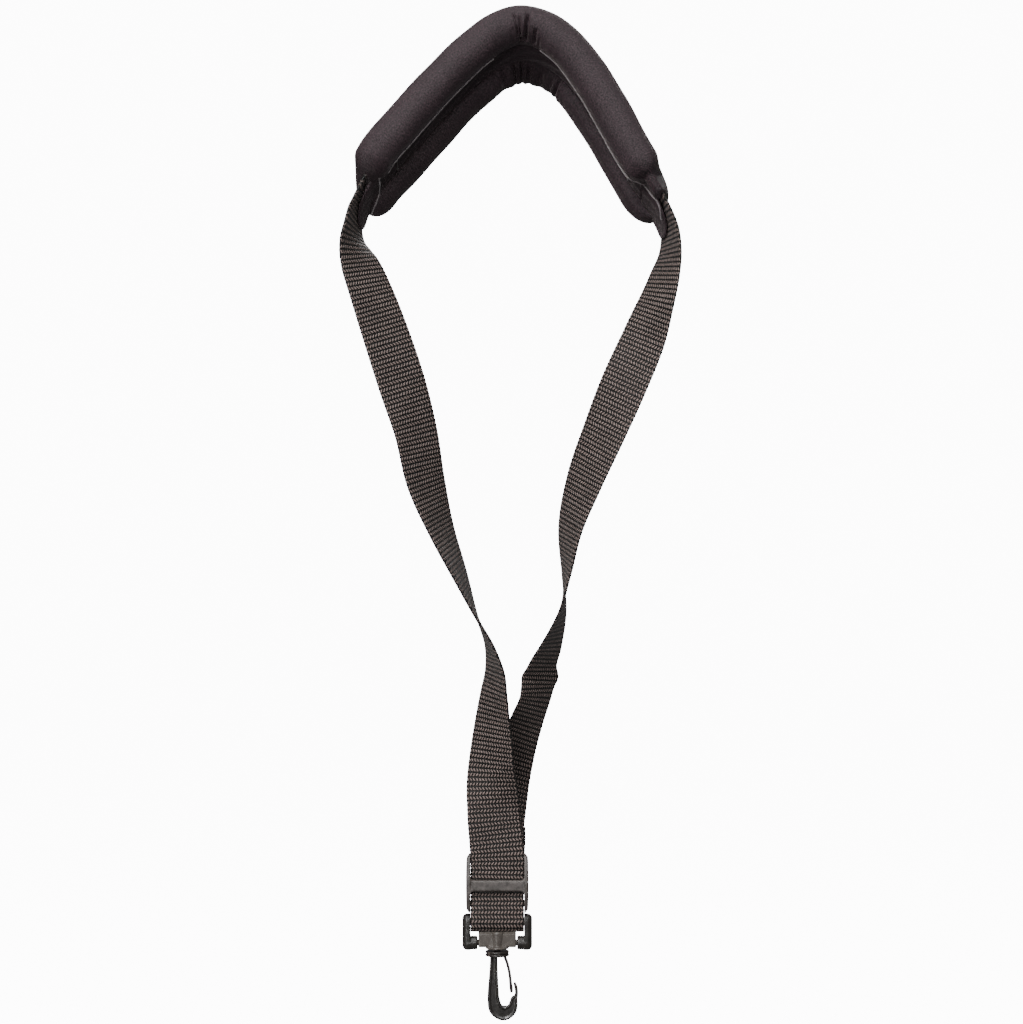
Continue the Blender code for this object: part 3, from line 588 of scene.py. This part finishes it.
def pad_outline(station):
    """Points of the outline as (u, v), the band first, then the back roll, the top and the front roll."""
    s, to_end, open_front, open_back, flat, half_gap = pad_state(station)
    points = []
    radius_b, radius_f = ROLL_RADIUS * open_back, ROLL_RADIUS * open_front
    level = ROLL_LEVEL * flat
    band = max(BAND_LEVEL * flat, level - 0.75 * min(radius_b, radius_f))
    meet_b = math.degrees(math.asin((band - level) / radius_b))
    meet_f = math.degrees(math.asin((band - level) / radius_f))
    reach_b = half_gap - radius_b * math.cos(math.radians(meet_b))
    reach_f = half_gap - radius_f * math.cos(math.radians(meet_f))
    for share in np.linspace(0, 1, 13)[1:-1]:
        u = -reach_f + share * (reach_f + reach_b)
        dip = 0.5 * math.sin(math.pi * share) * flat
        points.append((u, band - dip + 0.25 * math.sin(s / 5.0 + u)))
    for angle in np.linspace(-180 - meet_b, 60, 52):
        r = radius_b + (back_wrinkles(angle, s) + end_folds(angle, to_end)) * open_back
        turn = math.radians(angle)
        points.append((half_gap + r * math.cos(turn), level + r * math.sin(turn)))
    top = (WEB_LEVEL + 1.9) * flat if flat > 0.5 else (WEB_LEVEL + 1.9) * 0.5
    top = max(top, level + 0.87 * max(radius_b, radius_f))
    shoulder = points[-1][0]
    for share in np.linspace(0, 1, 16)[1:-1]:
        u = shoulder * (1 - share) - (half_gap - 0.5 * radius_f) * share
        v = level + (0.87 * radius_b * (1 - share) + 0.87 * radius_f * share)
        points.append((u, v + (top - v) * math.sin(math.pi * share) ** 0.6))
    for angle in np.linspace(60, -180 - meet_f, 66):
        r = radius_f + (front_wrinkles(angle, s) + end_folds(angle, to_end - 8)) * open_front
        turn = math.radians(angle)
        points.append((-half_gap - r * math.cos(turn), level + r * math.sin(turn)))
    return points


print("outline points:", len(pad_outline(170)))

# %% Sweep the pad
rings, cloth = [], []
for station in range(len(arch)):
    points = np.array(pad_outline(station))
    ring = arch[station] + points[:, :1] * arch_u[station] + points[:, 1:] * arch_v[station]
    gaps = np.linalg.norm(np.diff(points, axis=0, append=points[:1]), axis=1)
    walked = np.concatenate([[0], np.cumsum(gaps)[:-1]])
    rings.append(ring)
    cloth += [(w, from_left[station], 0) for w in walked]
pad = swept("pad_sleeve", rings, cloth)
material_on(pad, knit_finish)
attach(pad, "strap")
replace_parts(pad, "pad_cover", "foam_roll_front", "foam_roll_back", "foam_core", "webbing_pad_run")
print("pad:", len(pad.data.polygons), "faces")

# %% [markdown]
# ## The sleeve's two ends
# Past the rolls the sleeve narrows to a flat, pointed flap that is sewn to the neck side of the webbing. Each
# flap is swept along the first stretch of its leg, so the rows of the legs are needed first. A leg leaves the
# pad nearly edge-on, so a flap hides the far half of it.

# %% Rows of the two legs
hook_x, web_y, web_width = -10.9, -2.75, 24.8
LEFT_ROWS = [
    (-77.2, -18.6, -74.4, 77), (-78.3, -20.5, -81.2, 74), (-78.5, -21.7, -88.0, 66),
    (-77.2, -22.6, -93.7, 56), (-75.1, -23.4, -99.4, 47), (-70.7, -25.1, -110.9, 39),
    (-62.8, -25.3, -133.4, 30), (-55.5, -24.3, -155.9, 28), (-49.0, -22.4, -178.4, 38),
    (-44.6, -20.0, -200.9, 45), (-37.4, -17.3, -223.6, 62), (-28.2, -14.4, -246.3, 76),
    (-20.5, -12.0, -265.8, 90), (-14.1, -10.1, -280.6, 100), (-11.9, -8.7, -292.1, 111),
    (-12.4, -7.4, -303.6, 121), (-13.0, -6.2, -315.2, 131), (-13.4, -5.2, -326.8, 142),
    (-13.9, -4.6, -338.3, 152), (-13.5, -3.7, -348.5, 168), (-13.0, -2.9, -356.5, 178),
    (-12.5, -2.8, -364.0, 180), (-11.6, web_y, -372.0, 180), (hook_x, web_y, -380.0, 180),
    (hook_x, web_y, -395.2, 180),
]
RIGHT_ROWS = [
    (70.4, -20.0, -83.1, 105), (70.6, -20.6, -93.5, 111), (67.9, -21.3, -104.9, 121),
    (64.4, -22.0, -116.2, 129), (58.6, -20.2, -133.1, 144), (49.0, -17.8, -155.6, 151),
    (39.7, -14.1, -178.1, 144), (30.6, -9.8, -200.8, 133), (23.8, -5.5, -223.6, 116),
    (21.7, -1.2, -246.6, 97), (19.9, 2.0, -264.0, 81), (14.4, 4.9, -281.4, 65),
    (10.7, 6.4, -290.5, 56), (9.7, 6.9, -295.5, 45), (8.9, 7.3, -299.0, 49),
    (7.7, 8.0, -304.7, 53), (3.5, 8.4, -316.2, 50), (-1.8, 7.7, -330.6, 40),
    (-5.9, 6.2, -344.8, 29), (-9.1, 3.3, -358.9, 13), (-10.5, 0.3, -365.6, 3),
    (hook_x, -1.15, -370.5, 0),
]
LEFT_ROWS = [(*(arch[22] + arch_v[22] * 2.0), 84), (*(arch[0] + arch_v[0] * 1.4), 82), *LEFT_ROWS]
RIGHT_ROWS = [(*(arch[-26] + arch_v[-26] * 2.0), 97), (*(arch[-1] + arch_v[-1] * 1.0), 100), *RIGHT_ROWS]


def strip_directions(points, turns):
    """The direction of a strip's width at each point, from its turn in degrees."""
    along = unit(np.gradient(points, axis=0))
    level = unit(np.cross(along, (0, 1, 0)))
    depth = unit(np.cross(level, along))
    turns = np.radians(turns)[:, None]
    return level * np.cos(turns) + depth * np.sin(turns)


print("rows:", len(LEFT_ROWS), len(RIGHT_ROWS))

# %% Sweep the two flaps


def end_flap(name, rows, inwards, top, tip):
    """A pointed flap along the first stretch of a leg, from one height down to another, in millimetres."""
    rows = smooth_rows(rows[:5])
    across = strip_directions(rows[:, :3], rows[:, 3])
    normals = inwards * np.cross(across, unit(np.gradient(rows[:, :3], axis=0)))
    keep = (rows[:, 2] < top) & (rows[:, 2] > tip)
    rows, across, normals = rows[keep, :3], across[keep], normals[keep]
    rings, cloth = [], []
    for i, (point, a, n) in enumerate(zip(rows, across, normals)):
        t = i / (len(rows) - 1)
        half_width = 12.0 * math.sqrt(1 - (0.985 * t) ** 2.0)
        thick = 1.0 + 4.4 * (1 - t) ** 1.2
        middle = 2.5 + 3.5 * t
        for angle in np.radians(np.arange(0, 360, 7.5)):
            c, k = math.cos(angle), math.sin(angle)
            pleat = 0.35 * math.sin(c * 9 + t * 4) * (1 - t)
            side = middle + half_width * math.copysign(abs(c) ** 0.8, c)
            level = 0.9 + thick / 2 + (thick / 2 + pleat * (k > 0)) * math.copysign(abs(k) ** 0.8, k)
            rings.append(point + a * side + n * level)
            cloth.append((side, 0.6 * i, 0))
    item = swept(name, np.array(rings).reshape(len(rows), -1, 3), cloth)
    material_on(item, knit_finish)
    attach(item, "strap")
    return item


flaps = [
    end_flap("sleeve_end_left", LEFT_ROWS, -1, -57.0, -79.8),
    end_flap("sleeve_end_right", RIGHT_ROWS, 1, -64.0, -86.5),
]
for flap in flaps:
    print(flap.name, "size in mm:", [round(side / MM, 1) for side in flap.dimensions])

# %% [markdown]
# ## The corded seam
# A thin cord is sewn into the seam along the front roll's inner side. It stands a little proud, and its
# colour is painted pale, a painted highlight that shows as a fine light line. At the top of the arch the
# bunched fabric swallows it, so it is made in two lengths. Each is a curve with a round bevel, which is the
# simplest way to a cord, turned into a mesh at the end so that it can ride with the pad.

# %% Sweep the seam cord


def round_thread(name, points, radius_mm, material, body):
    """A round cord through points in millimetres, as a closed mesh that rides on a body."""
    curve = bpy.data.curves.new(name, "CURVE")
    curve.dimensions = "3D"
    spline = curve.splines.new("POLY")
    spline.points.add(len(points) - 1)
    for target, point in zip(spline.points, points):
        target.co = (*(np.array(point) * MM), 1)
    curve.bevel_depth = radius_mm * MM
    curve.bevel_resolution = 2
    curve.use_fill_caps = True
    item = bpy.data.objects.new(name, curve)
    bpy.context.scene.collection.objects.link(item)
    bpy.ops.object.select_all(action="DESELECT")
    bpy.context.view_layer.objects.active = item
    item.select_set(True)
    bpy.ops.object.convert(target="MESH")
    outwards(item)
    material_on(item, material)
    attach(item, body)
    return item


seam_finish, tree, shader = new_material("seam cord", Roughness=0.5)
shader.inputs["Sheen Weight"].default_value = 0.5
spot = tree.nodes.new("ShaderNodeTexCoord").outputs["Object"]
fuzz = add_node(tree, "ShaderNodeTexNoise", {"Vector": spot, "Scale": 1500.0, "Detail": 3.0})
# The pale colour is a painted highlight: it draws the cord as a fine light line.
seam_colour_painted_highlight = blend_colours(tree, fuzz, (0.02, 0.016, 0.018, 1), (0.19, 0.16, 0.165, 1))
tree.links.new(seam_colour_painted_highlight, shader.inputs["Base Color"])
bump = add_node(tree, "ShaderNodeBump", {"Height": fuzz, "Distance": 0.0001, "Strength": 0.5})
tree.links.new(bump, shader.inputs["Normal"])

SEAM_ANGLE = -112.0


def seam_point(station):
    """The seam's place on the front roll, just proud of the knit."""
    s, _, open_front, _, flat, half_gap = pad_state(station)
    r = (ROLL_RADIUS + front_wrinkles(SEAM_ANGLE, s)) * open_front + 0.1
    u = -half_gap - r * math.cos(math.radians(SEAM_ANGLE))
    v = ROLL_LEVEL * flat + r * math.sin(math.radians(SEAM_ANGLE))
    return arch[station] + u * arch_u[station] + v * arch_v[station]


def laid_on(items, places):
    """The frontmost points of some objects at places seen straight from the front, in millimetres."""
    points = []
    for x, z in places:
        hits = [item.ray_cast((x * MM, -0.2, z * MM), (0, 1, 0)) for item in items]
        depths = [hit[1].y / MM for hit in hits if hit[0]]
        if depths:
            points.append(np.array((x, min(depths), z)))
    return points


bpy.context.view_layer.update()
along_roll = [seam_point(station) for station in range(0, len(arch), 2)]
along_roll = [point for point in along_roll if point[2] > (-57.5 if point[0] < 0 else -60.5)]
left_turn = smooth_rows([(-66.1, -60.0), (-66.6, -63.3), (-68.0, -68.5), (-71.7, -75.3)], step=0.8)
right_turn = smooth_rows([(58.0, -62.5), (61.2, -67.1), (64.5, -71.3), (66.4, -78.4)], step=0.8)
padding = [pad, *flaps]
seam_paths = {
    "seam_cord_left": laid_on(padding, left_turn[::-1]) + [point for point in along_roll if point[0] < -12],
    "seam_cord_right": [point for point in along_roll if point[0] > 9] + laid_on(padding, right_turn),
}
for name, path in seam_paths.items():
    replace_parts(round_thread(name, path, 0.4, seam_finish, "strap"), "seam_welt")
    print(name, "mm long:", round(sum(math.dist(a, b) for a, b in zip(path, path[1:])), 1))

# %% [markdown]
# ## The webbing's legs
# Each leg is one flat strip that leaves the pad edge-on and twists on its way down. The left leg makes half a
# turn and ends flat behind the slide's front bar. The right leg turns the other way, crosses behind the left
# one, and folds round the slide's top bar. Rows give a leg's middle line and its turn in degrees.

# %% Weave the left leg
STEP_LEFT, STEP_LOWER, STEP_RIGHT = 0.6, 0.45, 0.55
left_rows = smooth_rows(LEFT_ROWS, step=STEP_LEFT)
left_across = strip_directions(left_rows[:, :3], left_rows[:, 3])
left_widths = np.interp(-left_rows[:, 2], [355, 374], [web_width, 25.8])
left_leg = woven_strip("webbing_left_leg_upper", left_rows[:, :3], left_across, left_widths, 1.45)

# %% Finish the left leg
material_on(left_leg, webbing_finish)
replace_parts(left_leg, "webbing_left_leg")
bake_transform(left_leg)
print("left leg faces:", len(left_leg.data.polygons))

# %% [markdown]
# The web goes on below the slide's front bar, round the yoke's crossbar and up again to a sewn tail. This
# stretch stays with the strap, so that it is still there when the slide moves up. Its top runs nearly four
# centimetres up inside the left leg, a little narrower and thinner, and stays hidden there until the slide
# uncovers it. It has to lie flat all the way, because the slide's bars pass along it. The loop hangs a
# little slack under the crossbar, as stiff webbing does.

# %% The lower end of the left leg
bar_y, bar_z = -0.7, -412.2
wrap, wrap_drop = 2.95, 4.1
tail_y = web_y + 1.6
lower = [(-11.95, -2.85, -358.6, 180), (-11.75, -2.8, -364.0, 180), (-11.25, web_y, -372.0, 180)]
lower += [(hook_x, web_y, z, 180) for z in (-380.0, -388.0, -396.0)]
lower += [(hook_x, web_y - 0.15, bar_z + 9.0, 180), (hook_x, web_y - 0.65, bar_z + 4.5, 180)]
lower += [(hook_x, web_y - 0.8, bar_z + 2.0, 180)]
for a in np.radians(np.linspace(184, 366, 9)):
    lower.append((hook_x, bar_y + wrap * math.cos(a), bar_z + wrap_drop * math.sin(a), 180))
lower += [(hook_x, bar_y + 2.3, bar_z + 2.4, 180), (hook_x, 0.4, bar_z + 4.4, 180)]
lower += [(hook_x, tail_y, bar_z + 7.0, 180)]
lower_rows = smooth_rows(lower, step=STEP_LOWER)
turns = np.radians(lower_rows[:, 3])
lower_across = np.stack([np.cos(turns), -np.sin(turns), np.zeros(len(turns))], axis=1)
lower_across[lower_rows[:, 2] > -376] *= (1, -1, 1)
is_front = np.arange(len(lower_rows)) < np.argmin(lower_rows[:, 2])
drop = np.where(is_front, lower_rows[:, 2], -420.0)
lower_widths = np.interp(-drop, [358, 364, 372, 380], [22.6, 23.2, 24.4, 25.5])
below_pad = 325.0
lower_leg = woven_strip(
    "webbing_left_leg_lower", lower_rows[:, :3], lower_across, lower_widths, 1.25, below_pad
)
material_on(lower_leg, webbing_finish)
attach(lower_leg, "strap")
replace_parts(lower_leg, "webbing_left_leg")

# %% [markdown]
# The right leg comes down behind the left one, goes once round the slide's hidden top bar and is sewn to
# itself. It is a single strip from the pad to the end of that fold.

# %% The right leg and its fold
top_bar_y, fold_z = 0.9, -382.0
fold = 2.05
right = RIGHT_ROWS + [(hook_x, -1.15, z, 0) for z in (-375.0, -379.0)]
angles = np.radians(np.linspace(186, 354, 8))
for a in angles:
    right.append((hook_x, top_bar_y + fold * math.cos(a), fold_z + fold * math.sin(a), 0))
right += [(hook_x, top_bar_y + fold, fold_z + 1.6, 0), (hook_x + 0.2, top_bar_y + fold - 0.4, -379.2, 0)]
right += [(hook_x + 0.4, 1.4, -376.5, 0), (hook_x + 0.6, 0.5, -374.0, 0), (hook_x + 0.8, 0.45, -366.5, 0)]
right_rows = smooth_rows(right, step=STEP_RIGHT)
right_across = strip_directions(right_rows[:, :3], right_rows[:, 3])
flat_from = np.argmax(right_rows[:, 2] < -368)
right_across[flat_from:] = (1, 0, 0)
right_widths = np.interp(-right_rows[:, 2], [355, 374], [web_width, 25.8])
right_leg = woven_strip("webbing_right_leg_whole", right_rows[:, :3], right_across, right_widths, 1.3)
material_on(right_leg, webbing_finish)
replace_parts(right_leg, "webbing_right_leg", "webbing_right_lower", "webbing_slide_loop")
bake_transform(right_leg)

# %% [markdown]
# ## The plastic parts
# The slide, yoke, block, hook and gate already have their true shapes in the bare model, but with the crisp
# edges of a drawing. A real moulding has soft edges everywhere. A fine voxel remesh of a copy gives even
# small faces all over, and a few rounds of smoothing then melt the edges by a fraction of a millimetre.

# %% Soften a copy of each moulding


def moulded(name, node, body, material, voxel_mm, rounds):
    """A softened copy of a CAD node, which stands in for it and rides on its body."""
    source = nodes[node]
    item = bpy.data.objects.new(name, source.data.copy())
    bpy.context.scene.collection.objects.link(item)
    bpy.ops.object.select_all(action="DESELECT")
    bpy.context.view_layer.objects.active = item
    item.select_set(True)
    bpy.ops.object.mode_set(mode="EDIT")
    bpy.ops.mesh.select_all(action="SELECT")
    bpy.ops.mesh.remove_doubles(threshold=0.000002)
    bpy.ops.mesh.normals_make_consistent(inside=False)
    bpy.ops.object.mode_set(mode="OBJECT")
    remesh = item.modifiers.new("even faces", "REMESH")
    remesh.mode = "VOXEL"
    remesh.voxel_size = voxel_mm * MM
    bpy.ops.object.modifier_apply(modifier=remesh.name)
    smooth = item.modifiers.new("melted edges", "SMOOTH")
    smooth.factor = 0.5
    smooth.iterations = rounds
    bpy.ops.object.modifier_apply(modifier=smooth.name)
    bpy.ops.object.shade_smooth()
    material_on(item, material)
    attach(item, body)
    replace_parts(item, node)
    print(name, "faces:", len(item.data.polygons))
    return item


moulded("slide_moulding", "slide_adjuster", "slide", slide_finish, 0.17, 4)
moulded("yoke_moulding", "yoke", "yoke", hook_finish, 0.17, 4)
moulded("block_moulding", "pivot_block", "block", barrel_finish_painted_highlight, 0.15, 3)
moulded("hook_moulding", "swivel_hook", "hook", hook_finish, 0.15, 3)
moulded("gate_moulding", "hook_gate", "gate", hook_finish, 0.12, 2)

# %% [markdown]
# The stitches and bar tacks are small enough to keep their modelled shapes. They only get the thread's
# finish.

# %% Finish the sewn threads
for name in ("stitch_slide_loop", "stitch_yoke_loop", "pad_tack_left", "pad_tack_right"):
    nodes[name].data.materials.clear()
    nodes[name].data.materials.append(thread_finish)
print("threads finished")
